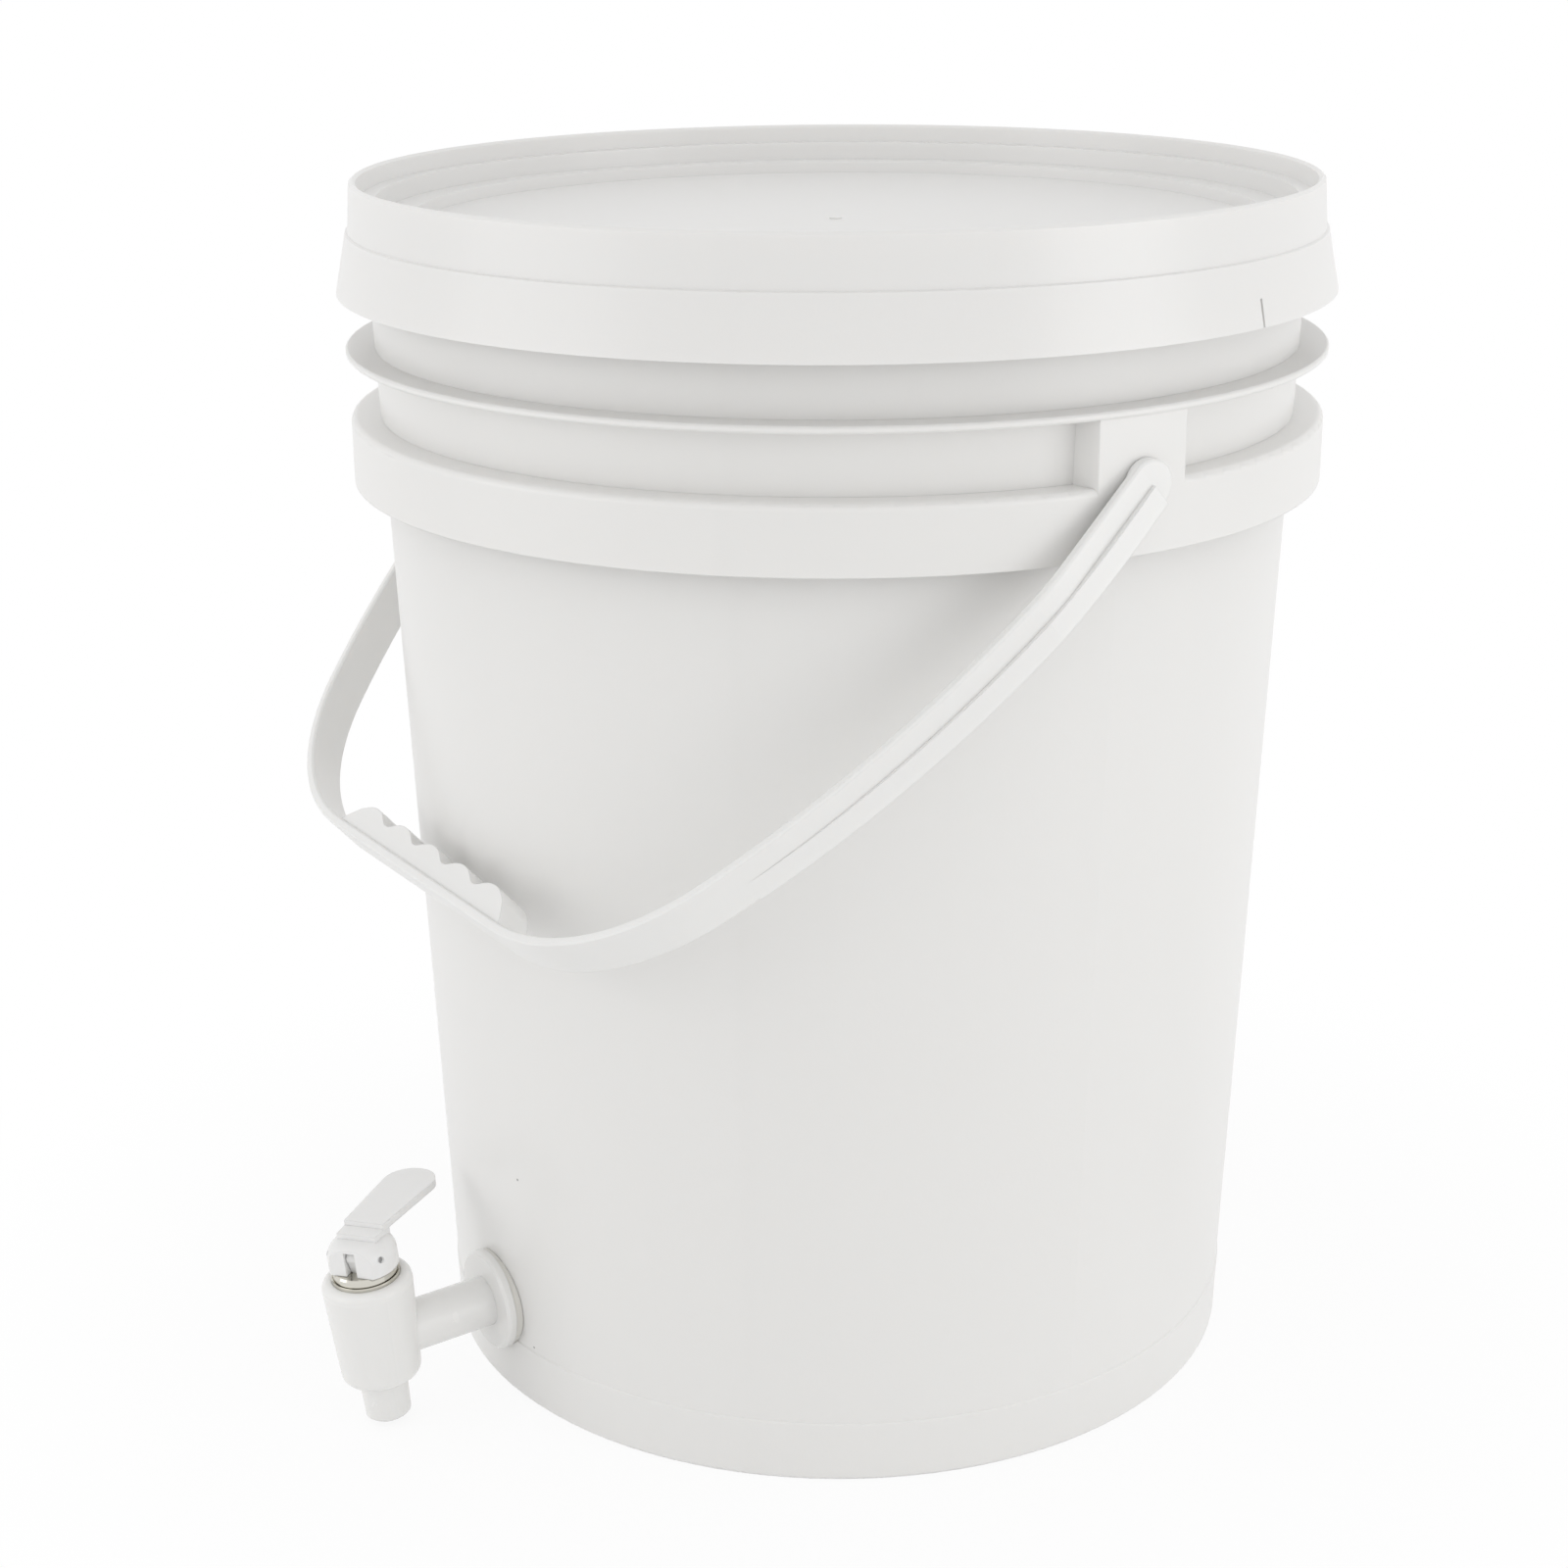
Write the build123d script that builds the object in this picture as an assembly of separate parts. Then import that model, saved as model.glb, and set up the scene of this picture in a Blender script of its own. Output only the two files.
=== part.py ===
from build123d import *
import os
from math import acos, atan, atan2, cos, degrees, hypot, radians, sin, tan

# A moulded 20 litre paint pail with a snap-on lid, a plastic strap bail and a push-lever tap low in
# its wall. Millimetres, +Z up. The origin is on the ground at the pail's axis, one bail ear is at +X
# and the tap is at -Y. The bail hangs at rest, its grip close to the wall above the tap.

# Pail wall, floor, foot and rim
base_radius = 131.4
wall_taper = 0.0383
wall = 2.2
floor_height = 8.0
floor_thickness = 2.6
floor_corner = 4.0
foot_height = 20.0
foot_chamfer = 1.0
foot_proud = 0.4
foot_blend = 0.2
foot_wall = 3.2
rim_height = 374.2
rim_depth = 6.5
rim_proud = 1.57

# Stacking flange, and the band below it: a skirt open underneath, held by ribs
flange_drop = 42.8
flange_thickness = 2.2
flange_reach = 9.0
flange_edge = 0.6
band_drop = 19.0
band_depth = 20.2
band_reach = 9.1
band_wall = 2.0
band_round = 2.0
rib_count = 16
rib_thickness = 1.6
rib_setback = 1.6

# Bail ears: hollow blocks between band and flange, with a pivot hole in the face
ear_half_width = 15.2
ear_draft = 9.4
ear_skin = 2.0
ear_face_wall = 2.5
ear_corner = 1.2
pivot_drop = 18.8

# Lid: recessed panel, shelf, ledge over the rim, ridge, and a skirt in two tiers
lid_wall = 1.8
gasket_thickness = 2.0
gasket_width = 2.8
gasket_gap = 0.05
plug_gap = 0.13
skirt_gap = 1.5
panel_drop = 9.2
shelf_drop = 5.6
shelf_width = 9.4
riser_run = 1.0
ridge_rise = 5.0
ridge_crown = 0.8
ridge_run = 1.0
ridge_width = 2.1
ridge_root = 0.5
tier_drop = 9.3
tier_step = 0.8
skirt_depth = 27.8
skirt_flare = 3.6
snap_gap = 0.3
snap_drop = 3.0
snap_relief = 0.6
slit_width = 1.0
slit_height = 8.0
slit_angle = 17.0
gate_radius = 2.0
gate_rise = 0.4

# Bail: strap, end discs, snap buttons, raised bead and finger grip
strap_width = 14.3
strap_thickness = 3.0
strap_edge = 0.6
strap_gap = 0.4
disc_thickness = 3.4
button_radius = 4.0
pivot_gap = 0.1
button_head = 5.5
button_head_length = 1.8
lean_angle = 4.2
lean_length = 35.0
bend_radius = 80.0
close_angle = 6.0
bow_share = 0.8
bail_reach = 203.0
bead_proud = 1.2
bead_crown = 0.7
bead_fade = 2.0
grip_width = 12.0
grip_depth = 8.9
grip_pitch = 20.3
grip_bumps = 5
grip_slope = 28.0
grip_crest_round = 12.0
grip_valley_round = 5.0
grip_end_round = 4.0
grip_overhang = 14.0
grip_shoulder = 0.6
grip_shoulder_drop = 4.2
grip_root = 1.0
rest_gap = 0.8

# Tap shank, flange, washers and lock nut
tap_height = 31.4
tap_reach = 43.2
barrel_lean = 3.5
shank_radius = 8.2
tail_radius = 8.0
shank_bore = 5.2
tap_hole_gap = 0.4
flange_disc_radius = 16.5
flange_disc_thickness = 3.0
flange_chamfer = 1.0
outer_washer = 1.5
inner_washer = 2.5
washer_gap = 0.2
washer_inset = 0.5
washer_seat_gap = 0.1
nut_width = 27.0
nut_height = 9.0
nut_chamfer = 1.2
tail_beyond_nut = 3.0
thread_gap = 0.05

# Tap barrel and nozzle
barrel_top = 23.4
barrel_shoulder = 20.0
barrel_shoulder_radius = 14.4
barrel_base = -13.0
barrel_base_radius = 12.65
barrel_crown = 2.6
barrel_draft = 0.5
barrel_round = 2.8
chamber_radius = 10.0
chamber_floor = -10.0
mouth_depth = 4.8
seat_radius = 6.4
seat_rise = 1.0
outlet_radius = 5.0
nozzle_end = -27.4
nozzle_top_radius = 7.7
nozzle_end_radius = 7.3
nozzle_bore = 5.6
nozzle_chamfer = 0.8

# Bonnet: bright collar screwed into the barrel's mouth
bonnet_radius = 10.9
bonnet_rim = 24.5
bonnet_lip = 0.3
groove_depth = 0.8
boss_radius = 10.3
boss_top = 27.0
boss_chamfer = 0.6
bonnet_plate = 3.0
spring_room = 9.0
guide_radius = 7.0
guide_length = 3.0

# Valve stem with its piston, seal, seat plug and spring
stem_radius = 5.2
stem_flat = 4.4
guide_gap = 0.05
piston_base = 8.0
piston_height = 5.0
piston_gap = 0.4
seal_width = 2.4
seal_gap = 0.05
seal_room = 0.1
neck_radius = 3.0
plug_radius = 6.8
plug_height = 5.5
nose_depth = 1.2
nose_gap = 0.4
knob_radius = 3.0
knob_length = 1.4
knob_neck = 2.0
knob_neck_length = 1.0
collar_radius = 5.0
collar_height = 1.2
spring_wire = 0.45
spring_sides = 6
spring_radius = 7.8
spring_turns = 4
spring_seat_gap = 0.05

# Lever: a round foot with a cut front and a slot, a stepped root, a paddle blade, and its pin
lever_turn = 37.3
pin_radius = 0.95
pin_gap = 0.05
pin_setback = 4.9
pin_inset = 0.6
cam_rest = 5.7
cam_gap = 0.1
cam_rate = 10.5
lever_swing = 22.0
dome_radius = 11.0
dome_height = 9.8
dome_round = 5.4
dome_front = 8.0
slot_half_width = 1.85
slot_gap = 0.3
tongue_radius = 2.3
tongue_half_width = 1.6
tongue_root = 2.0
shoulder_drop = 10.2
step_front = 2.0
step_back = 7.0
step_rise = 1.7
blade_front = 3.4
blade_rise = 3.3
blade_thickness = 2.5
blade_droop = 3.9
blade_root_half_width = 6.9
blade_tip_half_width = 9.2
blade_reach = 42.5
blade_edge = 0.6

# Places that follow from the sizes above
wall_lean = degrees(atan(wall_taper))


def wall_radius(height):
    """Outer radius of the conical wall at a height."""
    return base_radius + wall_taper * height


floor_top = floor_height + floor_thickness
flange_height = rim_height - flange_drop
band_height = flange_height - band_drop
rim_radius = wall_radius(rim_height) + rim_proud
rim_inner = wall_radius(rim_height) - wall
band_radius = wall_radius(band_height) + band_reach
band_bottom = band_height - band_depth
flange_radius = wall_radius(flange_height) + flange_reach
pivot_height = flange_height - pivot_drop
shank_frame = Location((0, -wall_radius(tap_height), tap_height), (90 + wall_lean, 0, 0))
tap_frame = Location((0, -wall_radius(tap_height), tap_height), (wall_lean, 0, 0))
barrel_frame = tap_frame * Location((0, -tap_reach, 0), (barrel_lean, 0, 0))
foot_plane = boss_top + cam_gap
pin_height = foot_plane + cam_rest
handle_frame = barrel_frame * Rot(0, 0, lever_turn)
shoulder_height = pin_height - shoulder_drop
piston_top = piston_base + piston_height
spring_top = boss_top - bonnet_plate


def rest_swing():
    """Angle below level at which the grip's middle crest comes to rest near the wall.

    The crest's lower edge is at v along the bail and half a grip width across it, so its distance
    from the axis, v cos(a) - w sin(a), meets the wall at the crest's own height.
    """
    along = bail_reach - strap_thickness - grip_depth
    across = grip_width / 2
    level = along + across * wall_taper
    cross = along * wall_taper - across
    reach = wall_radius(pivot_height) + rest_gap
    return degrees(acos(reach / hypot(level, cross)) + atan2(cross, level))


grip_half = grip_pitch * (grip_bumps - 1) / 2 + grip_overhang
bow_radius = bow_share * (band_radius - grip_half)
bail_frame = Location((0, 0, pivot_height), (180 + rest_swing(), 0, 0))


def outline(*corners):
    """Closed face from (x, y, corner radius) triples."""
    points = [(x, y) for x, y, _ in corners]
    radii = [radius for _, _, radius in corners]
    return make_face(FilletPolyline(*points, radius=radii, close=True))


def turned(*corners):
    """Solid of revolution about Z from (radius, height, corner radius) triples."""
    return revolve(Plane.XZ * outline(*corners), Axis.Z)


def cone(low, high, inset):
    """Solid cone that follows the wall's outer face, moved in by inset."""
    return turned(
        (0, low, 0),
        (wall_radius(low) - inset, low, 0),
        (wall_radius(high) - inset, high, 0),
        (0, high, 0),
    )


def cylinder(radius, low, high):
    """Plain cylinder on Z between two heights."""
    return Pos(0, 0, low) * Cylinder(radius, high - low, align=(Align.CENTER, Align.CENTER, Align.MIN))


def ear_plan(skin, face):
    """Plan of one bail ear: it narrows by its draft from the wall to the face."""
    inner = wall_radius(0)
    half_at_inner = ear_half_width + (band_radius - inner) * tan(radians(ear_draft)) - skin
    half_at_face = ear_half_width + face * tan(radians(ear_draft)) - skin
    return outline(
        (inner, -half_at_inner, 0),
        (band_radius - face, -half_at_face, ear_corner),
        (band_radius - face, half_at_face, ear_corner),
        (inner, half_at_inner, 0),
    )


def pail_body():
    """Wall, floor, foot, rim, flange, ribbed band and ears, moulded in one."""
    foot_top = foot_height + foot_proud
    foot_inner = wall_radius(0) - foot_wall
    web = band_height - band_wall
    rim_low = rim_height - rim_depth
    flange_top = flange_height + flange_thickness
    floor_edge = floor_top + floor_corner
    floor_radius = wall_radius(floor_edge) - wall
    body = turned(
        (foot_inner, 0, 0),
        (wall_radius(0) + foot_proud - foot_chamfer, 0, 0),
        (wall_radius(0) + foot_proud, foot_chamfer, 0),
        (wall_radius(foot_height) + foot_proud, foot_height, foot_blend),
        (wall_radius(foot_top), foot_top, foot_blend),
        (wall_radius(web), web, 0),
        (band_radius - band_wall, web, 0),
        (band_radius - band_wall, band_bottom, 0),
        (band_radius, band_bottom, 0),
        (band_radius, band_height, band_round),
        (wall_radius(band_height), band_height, 0),
        (wall_radius(flange_height), flange_height, 0),
        (flange_radius - flange_edge, flange_height, 0),
        (flange_radius, flange_height + flange_edge, 0),
        (flange_radius, flange_top - flange_edge, 0),
        (flange_radius - flange_edge, flange_top, 0),
        (wall_radius(flange_top), flange_top, 0),
        (wall_radius(rim_low), rim_low, 0),
        (rim_radius, rim_low, 0),
        (rim_radius, rim_height, 0),
        (rim_inner, rim_height, 0),
        (floor_radius, floor_edge, 0),
        (floor_radius - floor_corner, floor_top, 0),
        (0, floor_top, 0),
        (0, floor_height, 0),
        (foot_inner, floor_height, 0),
    )
    core = cone(0, rim_height, wall / 2)
    rib = Plane.XZ * outline(
        (base_radius, band_bottom + rib_setback, 0),
        (band_radius - band_wall / 2, band_bottom + rib_setback, 0),
        (band_radius - band_wall / 2, web + band_wall / 2, 0),
        (base_radius, web + band_wall / 2, 0),
    )
    rib = extrude(rib, rib_thickness / 2, both=True) - core
    for place in PolarLocations(0, rib_count, 180 / rib_count):
        body += place * rib

    ear = Pos(0, 0, band_bottom) * extrude(ear_plan(0, 0), flange_height - band_bottom)
    ear = (ear & cylinder(band_radius, band_bottom, flange_height)) - core
    hollow = extrude(ear_plan(ear_skin, ear_face_wall), flange_height - band_bottom + 1)
    hollow = Pos(0, 0, band_bottom - 1) * hollow - cone(0, rim_height, 0)
    pivot_hole = Pos(0, 0, pivot_height) * Rot(0, 90, 0) * cylinder(
        button_radius + pivot_gap, base_radius + band_reach, flange_radius
    )
    for side in (0, 180):
        body += Rot(0, 0, side) * ear
    for side in (0, 180):
        body -= Rot(0, 0, side) * (hollow + pivot_hole)
    return body - shank_frame * cylinder(tail_radius + tap_hole_gap, -3 * wall, 3 * wall)


def lid():
    """Lid: stepped panel, rim channel, solid ridge, two-tier skirt with a snap bead."""
    ledge = rim_height + gasket_thickness + lid_wall
    shelf = ledge - shelf_drop
    panel = ledge - panel_drop
    plug = rim_inner - plug_gap
    shelf_outer = plug - riser_run
    shelf_inner = shelf_outer - lid_wall - shelf_width
    skirt = rim_radius + skirt_gap
    tier = ledge - tier_drop
    ridge_outer = skirt + lid_wall - ridge_width / 2
    ridge_inner = ridge_outer - ridge_width
    ridge = ledge + ridge_rise
    bottom = ledge - skirt_depth
    flare = skirt + lid_wall + tier_step + skirt_flare
    snap = rim_height - rim_depth - snap_drop
    snap_radius = rim_radius + snap_gap
    channel = rim_height + gasket_thickness
    ridge_middle = (ridge_inner + ridge_outer) / 2
    body = turned(
        (0, panel, 0),
        (shelf_inner - riser_run, panel, 0),
        (shelf_inner, shelf, 0),
        (shelf_outer - lid_wall, shelf, 0),
        (plug - lid_wall, ledge, 0),
        (ridge_inner - ridge_run, ledge, 0),
        (ridge_inner, ridge, 0),
        (ridge_middle, ridge + ridge_crown, 0),
        (ridge_outer, ridge, 0),
        (skirt + lid_wall, tier, 0),
        (skirt + lid_wall + tier_step, tier - tier_step / 2, 0),
        (flare, bottom, 0),
        (flare - lid_wall, bottom, 0),
        (skirt + tier_step + snap_relief, snap - snap_drop, 0),
        (snap_radius, snap, 0),
        (skirt, snap + snap_drop, 0),
        (ridge_outer - lid_wall + ridge_root, channel, 0),
        (plug, channel, 0),
        (shelf_outer, shelf - lid_wall, 0),
        (shelf_inner + lid_wall, shelf - lid_wall, 0),
        (shelf_inner + lid_wall - riser_run, panel - lid_wall, 0),
        (0, panel - lid_wall, 0),
    )
    body += cylinder(gate_radius, panel - lid_wall / 2, panel + gate_rise)
    slit = Pos(flare, 0, bottom) * Box(4 * skirt_flare, slit_width, 2 * slit_height)
    body -= Rot(0, 0, slit_angle) * slit
    return body


def lid_gasket():
    """Flat ring between the pail's rim and the lid's channel."""
    inner = rim_inner - plug_gap + gasket_gap
    low = rim_height
    high = rim_height + gasket_thickness
    return cylinder(inner + gasket_width, low, high) - cylinder(inner, low, high)


def strap_curve(inset):
    """Half of the strap's run from the pivot to the middle, moved in from its outer face.

    A leaning line, a short bend, then two tangent arcs that end in the straight part under the
    grip. The long arc's radius r follows from tangency with the bow arc of radius b about q:
    |p + r n - q| = r - b, with p its start and n its inward normal there.
    """
    lean = radians(lean_angle)
    close = radians(close_angle)
    outer_start = band_radius + strap_gap + disc_thickness
    start = Vector(outer_start - inset, 0)
    line_end = start + Vector(sin(lean), cos(lean)) * lean_length
    bend = bend_radius - inset
    bend_centre = line_end + Vector(-cos(lean), sin(lean)) * bend
    arc_start = bend_centre + Vector(cos(close), sin(close)) * bend
    inward = Vector(-cos(close), -sin(close))
    bow = bow_radius - inset
    bow_centre = Vector(grip_half, bail_reach - bow_radius)
    gap = arc_start - bow_centre
    long_radius = (bow**2 - gap.length**2) / (2 * (gap.dot(inward) + bow))
    long_centre = arc_start + inward * long_radius
    reach = bow_centre - long_centre
    turn = degrees(atan2(reach.Y, reach.X))
    flat = bail_reach - inset
    edges = [
        Line(start, line_end),
        CenterArc(bend_centre, bend, -lean_angle, lean_angle + close_angle),
        CenterArc(long_centre, long_radius, close_angle, turn - close_angle),
        CenterArc(bow_centre, bow, turn, 90 - turn),
        Line((grip_half, flat), (0, flat)),
    ]
    return edges, long_centre, long_radius, turn


def strap_bead():
    """Raised half of the strap's outer face, which fades out before the bow."""
    edges, centre, radius, turn = strap_curve(0)
    line, bend = edges[0], edges[1]
    fade = radians(turn - bead_fade)
    middle = (radians(close_angle) + fade) / 2
    fade_point = centre + Vector(cos(fade), sin(fade)) * radius
    proud = radius + bead_proud * bead_crown
    proud_middle = centre + Vector(cos(middle), sin(middle)) * proud
    inner_middle = centre + Vector(cos(middle), sin(middle)) * (radius - strap_thickness / 2)
    inner_fade = centre + Vector(cos(fade), sin(fade)) * (radius - strap_thickness / 2)
    base, knee = line @ 0, bend @ 1
    outward = Vector(cos(radians(close_angle)), sin(radians(close_angle)))
    side = Vector(1, 0)
    profile = [
        Line(base - side * strap_thickness / 2, base + side * bead_proud),
        ThreePointArc(
            base + side * bead_proud, (line @ 1) + side * bead_proud, knee + outward * bead_proud
        ),
        ThreePointArc(knee + outward * bead_proud, proud_middle, fade_point),
        Line(fade_point, inner_fade),
        ThreePointArc(inner_fade, inner_middle, knee - outward * strap_thickness / 2),
        Line(knee - outward * strap_thickness / 2, base - side * strap_thickness / 2),
    ]
    return extrude(make_face(Wire(profile)), strap_width / 2)


def grip_profile():
    """Side outline of the finger grip: five waves made of tangent arcs and short lines."""
    seat = bail_reach - strap_thickness / 2
    root = bail_reach - strap_thickness - grip_root
    sharpness = 1 / cos(radians(grip_slope)) - 1
    crest = bail_reach - strap_thickness - grip_depth - grip_crest_round * sharpness
    valley = crest + grip_pitch / 2 * tan(radians(grip_slope))
    last = grip_half - grip_overhang
    shoulder = last + grip_overhang * grip_shoulder
    corners = [(-grip_half, seat, 0), (-grip_half, root, grip_end_round)]
    corners.append((-shoulder, crest + grip_shoulder_drop, grip_end_round))
    for bump in range(grip_bumps):
        x = -last + bump * grip_pitch
        corners.append((x, crest, grip_crest_round))
        if bump < grip_bumps - 1:
            corners.append((x + grip_pitch / 2, valley, grip_valley_round))
    corners.append((shoulder, crest + grip_shoulder_drop, grip_end_round))
    corners += [(grip_half, root, grip_end_round), (grip_half, seat, 0)]
    return outline(*corners)


def strap_section():
    """Rectangle of the strap with its corners cut off."""
    x, y = strap_width / 2, strap_thickness / 2
    corners = [(x - strap_edge, y), (x, y - strap_edge)]
    corners += [(x, -y) for x, y in reversed(corners)]
    corners += [(-x, y) for x, y in reversed(corners)]
    return make_face(Polyline(*corners, close=True))


def bail():
    """Strap with end discs, snap buttons and the finger grip, moulded in one."""
    edges, _, _, _ = strap_curve(strap_thickness / 2)
    path = Wire(edges)
    section = Plane(origin=path @ 0, x_dir=(0, 0, 1), z_dir=path % 0) * strap_section()
    face = band_radius + strap_gap
    disc_radius = strap_width / 2
    disc = Rot(0, 90, 0) * turned(
        (0, face, 0),
        (disc_radius, face, 0),
        (disc_radius, face + disc_thickness - strap_edge, 0),
        (disc_radius - strap_edge, face + disc_thickness, 0),
        (0, face + disc_thickness, 0),
    )
    back = band_radius - ear_face_wall - strap_gap
    button = Rot(0, 90, 0) * turned(
        (0, face + disc_thickness / 2, 0),
        (button_radius, face + disc_thickness / 2, 0),
        (button_radius, back, 0),
        (button_head, back, 0),
        (button_radius, back - button_head_length, 0),
        (0, back - button_head_length, 0),
    )
    half = sweep(section, path) + disc + button + strap_bead()
    whole = half + mirror(half, Plane.YZ)
    whole += extrude(grip_profile(), grip_width / 2, both=True)
    return bail_frame * whole


def tap_body():
    """Shank, flange, barrel and nozzle, moulded in one and bored through."""
    tail_end = -(wall + inner_washer + nut_height + tail_beyond_nut)
    flange_out = outer_washer + flange_disc_thickness
    flange_in = flange_out - flange_chamfer
    shank = turned(
        (0, tail_end, 0),
        (tail_radius - flange_chamfer, tail_end, 0),
        (tail_radius, tail_end + flange_chamfer, 0),
        (tail_radius, outer_washer, 0),
        (flange_disc_radius, outer_washer, 0),
        (flange_disc_radius, flange_in, 0),
        (flange_disc_radius - flange_chamfer, flange_out, 0),
        (shank_radius, flange_out, 0),
        (shank_radius, tap_reach, 0),
        (0, tap_reach, 0),
    )
    barrel = turned(
        (0, nozzle_end, 0),
        (nozzle_end_radius - nozzle_chamfer, nozzle_end, 0),
        (nozzle_end_radius, nozzle_end + nozzle_chamfer, 0),
        (nozzle_top_radius, barrel_base, 0),
        (barrel_base_radius, barrel_base, barrel_round),
        (barrel_shoulder_radius, barrel_shoulder, 0),
        (barrel_shoulder_radius - barrel_draft, barrel_top, barrel_crown),
        (0, barrel_top, 0),
    )
    inside = turned(
        (0, chamber_floor, 0),
        (chamber_radius, chamber_floor, 0),
        (chamber_radius, barrel_top - mouth_depth, 0),
        (bonnet_radius + thread_gap, barrel_top - mouth_depth, 0),
        (bonnet_radius + thread_gap, barrel_top, 0),
        (0, barrel_top, 0),
    )
    seat = cylinder(seat_radius, chamber_floor, chamber_floor + seat_rise)
    outlet = cylinder(outlet_radius, barrel_base, chamber_floor + seat_rise)
    outlet += cylinder(nozzle_bore, nozzle_end, barrel_base)
    body = shank_frame * shank + barrel_frame * barrel
    body -= barrel_frame * inside
    body -= shank_frame * cylinder(shank_bore, tail_end, tap_reach)
    body += barrel_frame * seat
    return body - barrel_frame * outlet


def tap_outer_washer():
    """Washer whose back follows the wall and whose front is flat against the flange."""
    radius = flange_disc_radius - washer_inset
    ring = cylinder(radius, -wall, outer_washer) - cylinder(tail_radius + washer_gap, -wall, outer_washer)
    foot = cone(0, foot_height + foot_proud + foot_blend, -foot_proud)
    return shank_frame * ring - cone(0, 2 * tap_height + radius, 0) - foot


def tap_inner_washer():
    """Washer whose front follows the inside of the wall and whose back is flat for the nut."""
    radius = flange_disc_radius - washer_inset
    low = -(wall + inner_washer)
    ring = cylinder(radius, low, wall) - cylinder(tail_radius + washer_gap, low, wall)
    return (shank_frame * ring) & cone(0, 2 * tap_height + radius, wall + washer_seat_gap)


def tap_lock_nut():
    """Hexagon nut with chamfered corners on the shank's tail."""
    high = -(wall + inner_washer)
    low = high - nut_height
    corner = nut_width / 2 / cos(radians(30))
    hexagon = Pos(0, 0, low) * extrude(RegularPolygon(corner, 6, rotation=30), nut_height)
    turned_blank = turned(
        (0, low, 0),
        (corner - nut_chamfer, low, 0),
        (corner, low + nut_chamfer * tan(radians(30)), 0),
        (corner, high, 0),
        (0, high, 0),
    )
    return shank_frame * ((hexagon & turned_blank) - cylinder(tail_radius + thread_gap, low, high))


def stem_hole(gap):
    """Section of the stem's rod: a circle with two flats that keep it from turning."""
    width = 2 * (stem_flat + gap)
    return Circle(stem_radius + gap) & Rectangle(width, 3 * stem_radius)


def tap_bonnet():
    """Collar with a skirt in the barrel, a rim, a groove, the boss that the cam rides, and a guide."""
    skirt_low = barrel_top - mouth_depth
    guide_low = spring_top - guide_length
    groove = bonnet_rim - groove_depth
    body = turned(
        (0, guide_low, 0),
        (guide_radius, guide_low, 0),
        (guide_radius, spring_top, 0),
        (spring_room, spring_top, 0),
        (spring_room, skirt_low, 0),
        (bonnet_radius, skirt_low, 0),
        (bonnet_radius, bonnet_rim, 0),
        (bonnet_radius - bonnet_lip, bonnet_rim, 0),
        (bonnet_radius - bonnet_lip, groove, 0),
        (boss_radius, groove, 0),
        (boss_radius, boss_top - boss_chamfer, 0),
        (boss_radius - boss_chamfer, boss_top, 0),
        (0, boss_top, 0),
    )
    hole = Pos(0, 0, guide_low) * extrude(stem_hole(guide_gap), boss_top - guide_low)
    return handle_frame * (body - hole)


def valve_stem():
    """Stem: knob and collar for the plug, piston with a seal groove, flatted rod and tongue."""
    plug_top = chamber_floor + seat_rise + plug_height
    knob = plug_top - collar_height - knob_length - knob_neck_length
    piston = chamber_radius - piston_gap
    groove = chamber_radius - seal_gap - seal_width
    middle = piston_base + piston_height / 2
    seal_half = seal_width / 2 + seal_room
    body = turned(
        (0, knob - knob_length, 0),
        (knob_radius, knob - knob_length, 0),
        (knob_radius, knob, 0),
        (knob_neck, knob, 0),
        (knob_neck, plug_top, 0),
        (collar_radius, plug_top, 0),
        (collar_radius, plug_top + collar_height, 0),
        (neck_radius, plug_top + collar_height, 0),
        (neck_radius, piston_base, 0),
        (piston, piston_base, 0),
        (piston, middle - seal_half, 0),
        (groove, middle - seal_half, 0),
        (groove, middle + seal_half, 0),
        (piston, middle + seal_half, 0),
        (piston, piston_top, 0),
        (0, piston_top, 0),
    )
    body += Pos(0, 0, piston_base) * extrude(stem_hole(0), shoulder_height - piston_base)
    front = -pin_setback - tongue_radius
    blade = outline(
        (-stem_radius, piston_top, 0),
        (-stem_radius, foot_plane, 0),
        (front, pin_height, 0),
        (front + 2 * tongue_radius, pin_height, 0),
        (tongue_root, foot_plane, 0),
        (tongue_root, piston_top, 0),
    )
    blade += Pos(-pin_setback, pin_height) * Circle(tongue_radius)
    tongue = extrude(Plane.YZ * blade, tongue_half_width, both=True)
    tongue -= pin_place() * Cylinder(pin_radius + pin_gap, 3 * tongue_half_width)
    loose = cylinder(stem_radius, piston_top, foot_plane)
    loose += cylinder(2 * stem_radius, foot_plane, pin_height + 2 * tongue_radius)
    return handle_frame * (body + (tongue & loose))


def valve_plug():
    """Soft plug snapped over the stem's knob, with a nose that enters the outlet."""
    low = chamber_floor + seat_rise
    high = low + plug_height
    nose = outlet_radius - nose_gap
    body = barrel_frame * turned(
        (0, low - nose_depth, 0),
        (nose - nose_depth, low - nose_depth, 0),
        (nose, low, 0),
        (plug_radius, low, 0),
        (plug_radius, high, 0),
        (0, high, 0),
    )
    return body - valve_stem()


def stem_seal():
    """Square sealing ring in the piston's groove."""
    low = piston_base + (piston_height - seal_width) / 2
    outer = chamber_radius - seal_gap
    ring = cylinder(outer, low, low + seal_width) - cylinder(outer - seal_width, low, low + seal_width)
    return barrel_frame * ring


def valve_spring():
    """Wire spring between the piston and the bonnet."""
    low = piston_top + spring_wire + spring_seat_gap
    high = spring_top - spring_wire - spring_seat_gap
    path = Helix((high - low) / spring_turns, high - low, spring_radius)
    section = Plane(origin=path @ 0, z_dir=path % 0) * RegularPolygon(spring_wire, spring_sides)
    return barrel_frame * Pos(0, 0, low) * sweep(section, path, is_frenet=True)


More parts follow.
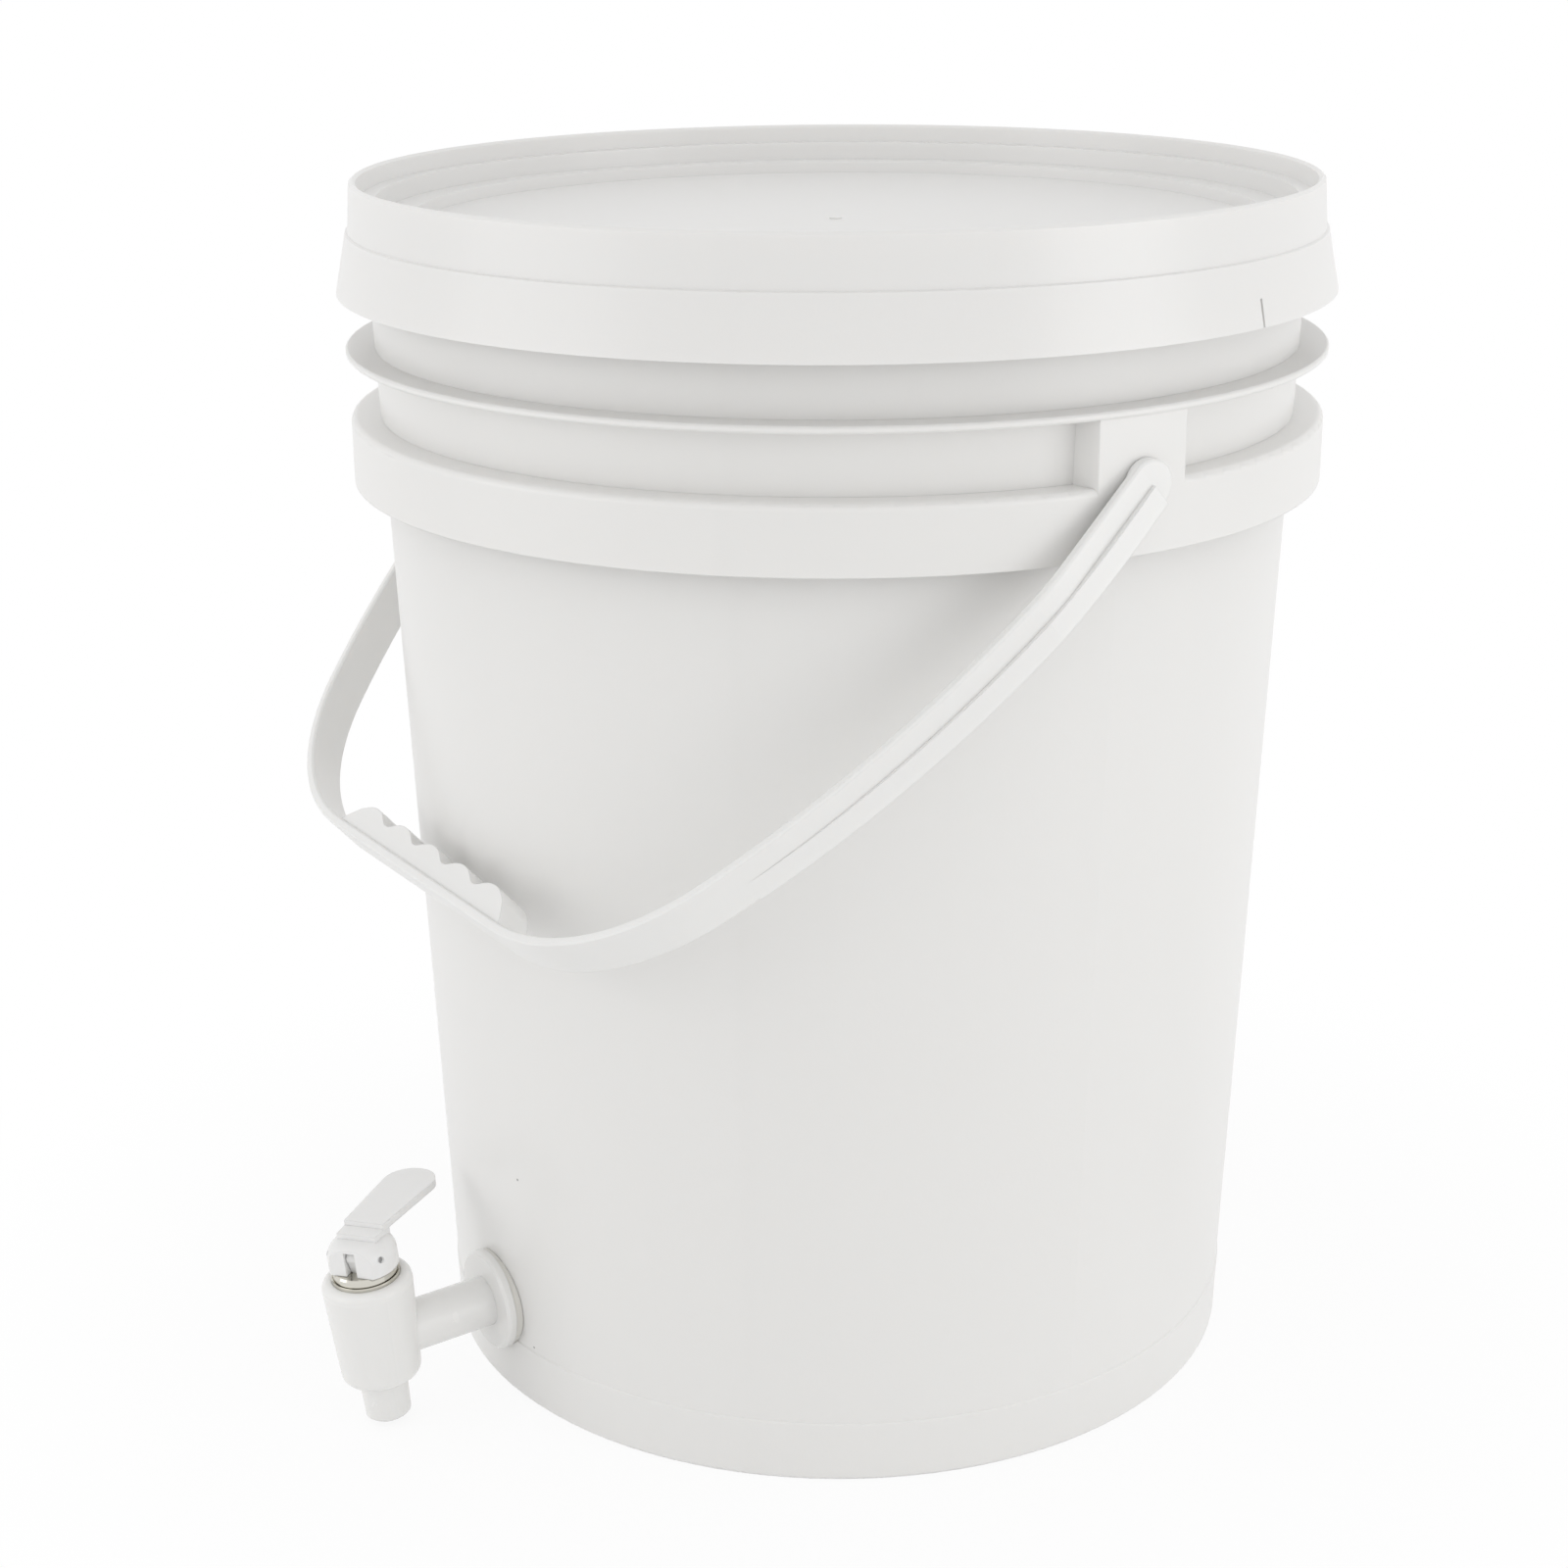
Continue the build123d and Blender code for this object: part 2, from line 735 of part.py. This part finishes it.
def pin_place():
    """Middle of the lever's pin in the handle's frame, its axis across the handle."""
    return Pos(0, -pin_setback, pin_height) * Rot(0, 90, 0)


def cam_outline():
    """Underside of the foot, seen along the pin: flat in front, then a cam, then its tangent.

    Pressed by an angle a, the cam stays tangent to the boss cam_rest + cam_rate a below the pin, so
    every radian lifts the stem by cam_rate. It is the envelope of those lines, an involute:
    (h + k a)(sin a, -cos a) + k (cos a, sin a), with h the cam's rest distance and k its rate.
    """
    steps = 6
    points = []
    for step in range(steps + 1):
        a = radians(lever_swing) * step / steps
        lift = cam_rest + cam_rate * a
        points.append((lift * sin(a) + cam_rate * cos(a), -lift * cos(a) + cam_rate * sin(a)))
    swing = radians(lever_swing)
    cam = Spline(*points, tangents=[(1, 0), (cos(swing), sin(swing))])
    run = 2 * dome_radius
    end = (cam @ 1) + Vector(cos(swing), sin(swing)) * run
    top = dome_height + step_rise
    rest = Polyline(cam @ 1, end, (end.X, top), (-run, top), (-run, -cam_rest), cam @ 0)
    return Pos(-pin_setback, pin_height) * make_face(Wire([cam, *rest.edges()]))


def blade_plan():
    """Outline of the paddle from above: it widens towards its round end."""
    round_end = blade_tip_half_width - blade_edge
    return outline(
        (blade_front, -blade_root_half_width, 0),
        (blade_reach, -blade_tip_half_width, round_end),
        (blade_reach, blade_tip_half_width, round_end),
        (blade_front, blade_root_half_width, 0),
    )


def tap_lever():
    """Push lever: round foot with cut front, cam and slot, a stepped root, and the paddle blade."""
    dome_top = foot_plane + dome_height
    foot = turned(
        (0, foot_plane, 0),
        (dome_radius, foot_plane, 0),
        (dome_radius, dome_top, dome_round),
        (0, dome_top, 0),
    )
    foot &= extrude(Plane.YZ * cam_outline(), 2 * dome_radius, both=True)
    foot -= Pos(0, -dome_front, 0) * Box(
        4 * dome_radius, 2 * dome_radius, 4 * pin_height, align=(Align.CENTER, Align.MAX, Align.CENTER)
    )
    width = 2 * blade_root_half_width
    step_middle = (step_back - step_front) / 2
    step_low = dome_top - dome_round
    root = Pos(0, step_middle, step_low) * Box(
        width, step_front + step_back, dome_round + step_rise, align=(Align.CENTER, Align.CENTER, Align.MIN)
    )
    tilt = Pos(0, blade_front, dome_top + blade_rise) * Rot(-blade_droop, 0, 0) * Pos(0, -blade_front, 0)
    blade = tilt * extrude(Rot(0, 0, 90) * blade_plan(), -blade_thickness)
    lever = foot + root + blade
    slot_top = pin_height + tongue_radius + slot_gap
    lever -= Pos(0, 0, slot_top - dome_height) * Box(
        2 * slot_half_width, 4 * dome_radius, 2 * dome_height
    )
    return handle_frame * (lever - pin_place() * Cylinder(pin_radius, 4 * dome_radius))


def lever_pin():
    """Steel cross pin, tight in the foot and running in the tongue."""
    length = 2 * ((dome_radius**2 - pin_setback**2) ** 0.5 - pin_inset)
    return handle_frame * pin_place() * Cylinder(pin_radius, length)


pieces = [
    pail_body,
    lid,
    lid_gasket,
    bail,
    tap_body,
    tap_outer_washer,
    tap_inner_washer,
    tap_lock_nut,
    tap_bonnet,
    valve_stem,
    valve_plug,
    stem_seal,
    valve_spring,
    tap_lever,
    lever_pin,
]
os.makedirs("parts", exist_ok=True)
for piece in pieces:
    export_step(piece(), f"parts/{piece.__name__}.step")
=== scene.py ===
from math import radians

import bpy
import numpy as np
from mathutils import Matrix


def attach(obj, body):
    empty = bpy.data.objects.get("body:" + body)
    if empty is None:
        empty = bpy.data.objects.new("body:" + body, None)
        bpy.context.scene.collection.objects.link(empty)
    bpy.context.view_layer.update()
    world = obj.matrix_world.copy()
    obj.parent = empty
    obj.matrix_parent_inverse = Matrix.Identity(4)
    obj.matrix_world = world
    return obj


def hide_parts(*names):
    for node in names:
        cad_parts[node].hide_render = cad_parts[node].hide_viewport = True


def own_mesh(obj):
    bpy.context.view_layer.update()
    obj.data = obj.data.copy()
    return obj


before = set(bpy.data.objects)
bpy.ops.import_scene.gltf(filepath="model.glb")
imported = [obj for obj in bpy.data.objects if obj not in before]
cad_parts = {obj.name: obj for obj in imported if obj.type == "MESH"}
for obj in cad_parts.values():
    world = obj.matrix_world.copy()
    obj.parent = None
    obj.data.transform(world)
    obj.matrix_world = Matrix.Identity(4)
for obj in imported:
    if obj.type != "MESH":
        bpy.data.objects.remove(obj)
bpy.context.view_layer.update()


# Camera, sweep and daylight
# The pail stands on a white paper sweep under soft lamps. It is seen from above its front right, with
# the tap to the left and one bail ear turned towards the camera.
eye = (0.72604, -0.48238, 0.47687)
eye_yaw, eye_pitch, eye_roll = 57.54, -18.64, -0.417
camera = bpy.data.objects.new("camera", bpy.data.cameras.new("camera"))
bpy.context.scene.collection.objects.link(camera)
camera.data.sensor_width = 36.0
camera.data.lens = 63.4
camera.data.clip_start = 0.01
camera.matrix_world = (
    Matrix.Translation(eye)
    @ Matrix.Rotation(radians(eye_yaw), 4, "Z")
    @ Matrix.Rotation(radians(90 + eye_pitch), 4, "X")
    @ Matrix.Rotation(radians(eye_roll), 4, "Z")
)
bpy.context.scene.camera = camera
bpy.context.scene.view_settings.view_transform = "Standard"


class Weave:
    """A shader socket that Python's operators join into Math nodes of one material."""

    def __init__(self, tree, socket=None):
        self.tree = tree
        self.socket = socket

    def node(self, kind, settings=None, output=0, **inputs):
        """Adds one node: its settings first, then values or links for its sockets by name or _number."""
        made = self.tree.nodes.new(kind)
        for name, value in (settings or {}).items():
            setattr(made, name, value)
        for name, value in inputs.items():
            key = int(name[1:]) if name[0] == "_" else name.replace("_", " ")
            if isinstance(value, Weave):
                self.tree.links.new(value.socket, made.inputs[key])
            else:
                made.inputs[key].default_value = value
        return Weave(self.tree, made.outputs[output] if made.outputs else None)

    def maths(self, operation, first, second):
        """One Math node on two values."""
        return self.node("ShaderNodeMath", {"operation": operation}, _0=first, _1=second)

    def __add__(self, other):
        return self.maths("ADD", self, other)

    def __radd__(self, other):
        return self.maths("ADD", other, self)

    def __sub__(self, other):
        return self.maths("SUBTRACT", self, other)

    def __rsub__(self, other):
        return self.maths("SUBTRACT", other, self)

    def __mul__(self, other):
        return self.maths("MULTIPLY", self, other)

    def __rmul__(self, other):
        return self.maths("MULTIPLY", other, self)

    def lookers(self):
        """1 for rays from the camera and for rays that metal or clear things send on, else 0."""
        path = self.node("ShaderNodeLightPath").socket.node.outputs
        camera_ray, glossy, through = (
            Weave(self.tree, path[name])
            for name in ("Is Camera Ray", "Is Glossy Ray", "Is Transmission Ray")
        )
        return self.maths("MAXIMUM", self.maths("MAXIMUM", camera_ray, glossy), through)


white = (1, 1, 1, 1)
sky_level = 0.86
world = bpy.data.worlds.new("studio")
bpy.context.scene.world = world
world.use_nodes = True
world.node_tree.nodes.clear()
air = Weave(world.node_tree)
sky = air.node("ShaderNodeBackground", Color=white, Strength=sky_level)
backdrop = air.node("ShaderNodeBackground", Color=white, Strength=1.0)
shown = air.node("ShaderNodeMixShader", Fac=air.lookers(), _1=sky, _2=backdrop)
air.node("ShaderNodeOutputWorld", Surface=shown)

floor_half = 6.0
paper_colour = (0.9, 0.9, 0.9, 1)
shade_near, shade_far, shaded_white = 0.15, 0.36, 0.9
floor_mesh = bpy.data.meshes.new("floor")
floor_corners = floor_half * np.array([(-1, -1, 0), (1, -1, 0), (1, 1, 0), (-1, 1, 0)])
floor_mesh.from_pydata(floor_corners.tolist(), [], [(0, 1, 2, 3)])
floor = bpy.data.objects.new("floor", floor_mesh)
bpy.context.scene.collection.objects.link(floor)
paper = bpy.data.materials.new("white_sweep")
paper.use_nodes = True
paper.node_tree.nodes.clear()
sheet = Weave(paper.node_tree)
spot = Weave(sheet.tree, sheet.node("ShaderNodeTexCoord").socket.node.outputs["Object"])
reach = sheet.node("ShaderNodeVectorMath", {"operation": "LENGTH"}, output=1, _0=spot)
bright = sheet.node(
    "ShaderNodeMapRange",
    {"interpolation_type": "SMOOTHSTEP"},
    Value=reach,
    From_Min=shade_near,
    From_Max=shade_far,
    To_Min=shaded_white,
    To_Max=1.0,
)
matt = sheet.node("ShaderNodeBsdfDiffuse", Color=paper_colour)
glow = sheet.node("ShaderNodeEmission", Color=white, Strength=1.0)
surface = sheet.node("ShaderNodeMixShader", Fac=bright * sheet.lookers(), _1=matt, _2=glow)
sheet.node("ShaderNodeOutputMaterial", Surface=surface)
floor.data.materials.append(paper)

lit_point = (0, 0, 0.2)
for name, place, size, power in (
    ("key_lamp", (1.4, 0.75, 0.35), 0.9, 4.8),
    ("fill_lamp", (-0.35, -1.8, 0.5), 1.4, 6.2),
):
    lamp = bpy.data.objects.new(name, bpy.data.lights.new(name, "AREA"))
    lamp.data.shape = "SQUARE"
    lamp.data.size = size
    lamp.data.energy = power
    bpy.context.scene.collection.objects.link(lamp)
    away = np.array(place) - lit_point
    away = away / np.linalg.norm(away)
    side = np.cross((0, 0, 1), away)
    side = side / np.linalg.norm(side)
    turn = np.column_stack([side, np.cross(away, side), away])
    lamp.matrix_world = Matrix.Translation(place) @ Matrix(turn.tolist()).to_4x4()


# Pail body
# One injection moulding of slightly translucent white polypropylene: wall, foot, band, flange and
# ears. It is soft-glossy, a little cloudy and scuffed, with two specks of dirt low on the wall.
speck_colour = (0.12, 0.11, 0.1, 1)
speck_cover = 0.8
scratch_scale = 180.0
skin_scale, skin_strength, skin_depth = 900.0, 0.2, 0.0001
scatter_share, scatter_colour = 0.3, (1.0, 0.95, 0.9)
moulded_ior = 1.49


def plastic(name, colour, roughness, patch=9.0, cloud=0.01, scuff=0.05, depth=0.002, edge=0.0005, specks=()):
    """Moulded plastic: soft patches tint it, patches and fine scuffs vary its gloss, with a fine grain.

    The tint runs from colour * (1 - cloud) to colour * (1 + cloud) with a noise of scale patch. Each
    speck (x, y, z, radius) darkens what lies within its radius. Corners look rounded to the radius
    edge, as a mould leaves them.
    """
    made = bpy.data.materials.new(name)
    made.use_nodes = True
    made.node_tree.nodes.clear()
    net = Weave(made.node_tree)
    place = Weave(net.tree, net.node("ShaderNodeTexCoord").socket.node.outputs["Object"])
    patches = net.node("ShaderNodeTexNoise", Vector=place, Scale=patch, Detail=2.0)
    mixing = {"data_type": "RGBA"}
    dull = (*(c * (1 - cloud) for c in colour), 1)
    clean = (*(min(c * (1 + cloud), 1) for c in colour), 1)
    tint = net.node("ShaderNodeMix", mixing, output=2, _0=patches, _6=dull, _7=clean)
    for x, y, z, radius in specks:
        apart = net.node("ShaderNodeVectorMath", {"operation": "DISTANCE"}, output=1, _0=place, _1=(x, y, z))
        span = {"Value": apart, "From_Min": 0.6 * radius, "From_Max": radius}
        near = net.node("ShaderNodeMapRange", To_Min=speck_cover, To_Max=0.0, **span)
        tint = net.node("ShaderNodeMix", mixing, output=2, _0=near, _6=tint, _7=speck_colour)
    scratches = net.node("ShaderNodeTexNoise", Vector=place, Scale=scratch_scale, Detail=4.0, Roughness=0.65)
    rough = scuff * (patches - 0.5) + scuff * (scratches - 0.5) + roughness
    skin = net.node("ShaderNodeTexNoise", Vector=place, Scale=skin_scale, Detail=2.0)
    relief = net.node("ShaderNodeBump", Strength=skin_strength, Distance=skin_depth, Height=skin)
    if edge:
        soft = net.node("ShaderNodeBevel", {"samples": 4}, Radius=edge)
        net.tree.links.new(soft.socket, relief.socket.node.inputs["Normal"])
    shader = net.node(
        "ShaderNodeBsdfPrincipled",
        Base_Color=tint,
        Roughness=rough,
        Normal=relief,
        IOR=moulded_ior,
        Subsurface_Weight=scatter_share,
        Subsurface_Radius=scatter_colour,
        Subsurface_Scale=depth,
    )
    net.node("ShaderNodeOutputMaterial", Surface=shader)
    return made


def dress(node, material):
    """Gives a CAD node this material in place of its own."""
    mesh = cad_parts[node].data
    mesh.materials.clear()
    mesh.materials.append(material)


wall_specks = ((0.01903, -0.13317, 0.08155, 0.0005), (0.02077, -0.13059, 0.02179, 0.00045))
dress("pail_body", plastic("pail_plastic", (0.80, 0.793, 0.778), 0.33, specks=wall_specks))


# Lid
# A thinner moulding of the same plastic, pressed over the rim, with a stepped panel, a ridge and a
# skirt in two tiers. A rubber gasket lies in its rim channel.
dress("lid", plastic("lid_plastic", (0.785, 0.778, 0.765), 0.30, edge=0))
dress("lid_gasket", plastic("gasket_rubber", (0.72, 0.715, 0.70), 0.6, patch=60.0, cloud=0.03, scuff=0.1))


# Bail
# A flat strap of whiter, tougher plastic, moulded with a finger grip in its middle. Buttons on its
# ends snap into the pail's ears and turn there.
dress("bail", plastic("bail_plastic", (0.82, 0.817, 0.805), 0.34, patch=25.0))


# Tap body
# Barrel, nozzle, shank and flange of milky natural polypropylene, moulded in one. It passes through
# the wall between two soft washers, and a hexagon nut inside the pail holds it.
milky = (0.83, 0.825, 0.81)
tap_patch = 60.0
dress("tap_body", plastic("tap_plastic", milky, 0.26, patch=tap_patch, cloud=0.008, depth=0.001))
washer_white = (0.76, 0.745, 0.70)
washer = plastic("washer_rubber", washer_white, 0.55, patch=tap_patch, cloud=0.02, scuff=0.1)
dress("tap_outer_washer", washer)
dress("tap_inner_washer", washer)
dress("tap_lock_nut", plastic("nut_plastic", (0.75, 0.745, 0.73), 0.45, patch=tap_patch))


# Bonnet
# A turned and plated collar that screws into the barrel's mouth and guides the valve stem. Its boss
# carries the lever's cam.
def metal(name, colour, roughness, scuff):
    """Metal whose roughness varies in fine patches, from roughness to roughness + scuff."""
    made = bpy.data.materials.new(name)
    made.use_nodes = True
    made.node_tree.nodes.clear()
    net = Weave(made.node_tree)
    place = Weave(net.tree, net.node("ShaderNodeTexCoord").socket.node.outputs["Object"])
    patches = net.node("ShaderNodeTexNoise", Vector=place, Scale=400.0, Detail=3.0)
    rough = scuff * patches + roughness
    shader = net.node("ShaderNodeBsdfPrincipled", Base_Color=(*colour, 1), Metallic=1.0, Roughness=rough)
    net.node("ShaderNodeOutputMaterial", Surface=shader)
    return made


dress("tap_bonnet", metal("bonnet_chrome", (0.66, 0.64, 0.58), 0.06, 0.08))


# Lever
# A handle of the same milky plastic: a round, slotted foot whose underside is the cam, and a paddle.
# A steel pin through the foot holds it to the stem.
clear_white = (0.83, 0.827, 0.82)
dress("tap_lever", plastic("lever_plastic", clear_white, 0.24, patch=tap_patch, cloud=0.008, depth=0.001))
steel = metal("pin_steel", (0.45, 0.45, 0.45), 0.25, 0.15)
dress("lever_pin", steel)


# Valve
# Inside the barrel a moulded stem carries a soft plug that shuts the outlet, and a square sealing ring
# in its piston.
dress("valve_stem", plastic("stem_plastic", (0.76, 0.757, 0.745), 0.4, patch=tap_patch))
seal = plastic("seal_silicone", washer_white, 0.5, patch=tap_patch, cloud=0.02)
dress("valve_plug", seal)
dress("stem_seal", seal)


# Valve spring
# Round stainless wire, wound cold with a closed turn at each end. It presses the stem's piston away
# from the bonnet. In the tap it shortens as the lever lifts the stem; here it is built at one length and
# rides with the pail.
def wound_wire(turns, heights, radius, wire, steps=32, sides=12):
    """Points and faces of a wire wound round the Z axis.

    After t turns the wire's middle is at the angle 2 pi t, radius away from the axis, and as high as
    heights says, straight between the given turns. Round it lies a circle of radius wire, square to
    the path, and a flat cap closes each end.
    """
    turned = np.linspace(turns[0], turns[-1], steps * int(turns[-1] - turns[0]) + 1)
    angle = 2 * np.pi * turned
    level = np.zeros_like(angle)
    out = np.stack([np.cos(angle), np.sin(angle), level], axis=1)
    middle = radius * out + np.stack([level, level, np.interp(turned, turns, heights)], axis=1)
    along = np.gradient(middle, axis=0)
    along -= out * np.sum(along * out, axis=1, keepdims=True)
    along /= np.linalg.norm(along, axis=1, keepdims=True)
    across = np.cross(along, out)
    round_it = 2 * np.pi * np.arange(sides) / sides
    ring = np.cos(round_it)[None, :, None] * out[:, None] + np.sin(round_it)[None, :, None] * across[:, None]
    points = middle[:, None] + wire * ring
    index = np.arange(points.shape[0] * sides).reshape(-1, sides)
    after = np.roll(index, -1, axis=1)
    quads = np.stack([index[:-1], after[:-1], after[1:], index[1:]], axis=-1).reshape(-1, 4)
    return points.reshape(-1, 3), [*quads.tolist(), index[0, ::-1].tolist(), index[-1].tolist()]


barrel_foot = np.array([0.0, -0.1757715, 0.0297467])
barrel_axes = np.array([(1, 0, 0), (0, 0.995068, 0.099199), (0, -0.099199, 0.995068)])
spring_low, spring_high = 0.0135, 0.0235
spring_radius, wire_radius = 0.0078, 0.00045
closed_turn = 2.05 * wire_radius
wire_points, wire_faces = wound_wire(
    (0, 1, 5, 6),
    (spring_low, spring_low + closed_turn, spring_high - closed_turn, spring_high),
    spring_radius,
    wire_radius,
)
spring_mesh = bpy.data.meshes.new("spring_wire")
spring_mesh.from_pydata((barrel_foot + wire_points @ barrel_axes).tolist(), [], wire_faces)
spring_mesh.shade_smooth()
spring = bpy.data.objects.new("spring_wire", spring_mesh)
bpy.context.scene.collection.objects.link(spring)
spring_mesh.materials.append(metal("spring_steel", (0.55, 0.55, 0.54), 0.22, 0.12))
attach(spring, "pail")
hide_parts("valve_spring")
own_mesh(spring)
